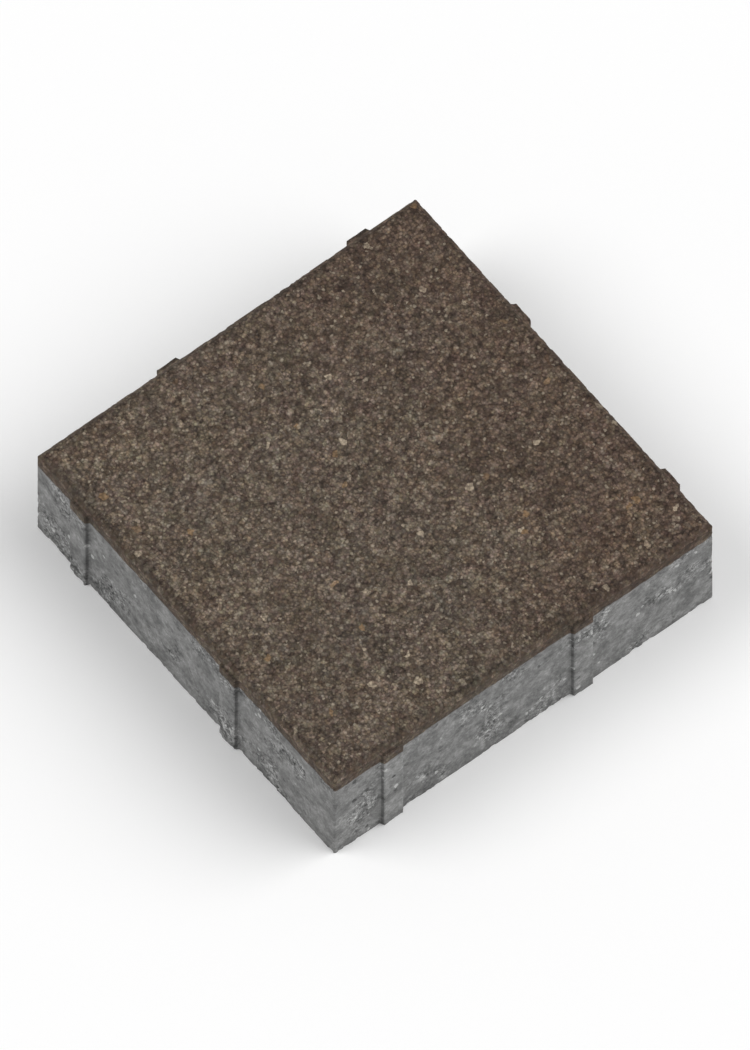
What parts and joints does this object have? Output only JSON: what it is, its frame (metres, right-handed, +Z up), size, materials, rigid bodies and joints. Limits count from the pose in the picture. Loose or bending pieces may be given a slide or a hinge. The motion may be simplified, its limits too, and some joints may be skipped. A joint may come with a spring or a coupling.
{
  "type": "paving block",
  "caption": "Square pressed-concrete paving block with a bevelled brown walking face on a grey base and upright spacer nibs on its sides.",
  "frame": {"origin": "middle of the underside, on the bedding plane", "axes": "+Z up to the walking face, X and Y square to the four sides"},
  "size_m": [0.204, 0.204, 0.06],
  "materials": {
    "concrete": "matt pressed concrete, fine-grained brown face mix pressed onto a grey base mix"
  },
  "bodies": {
    "root": {"paving_block": "concrete"}
  },
  "joints": []
}
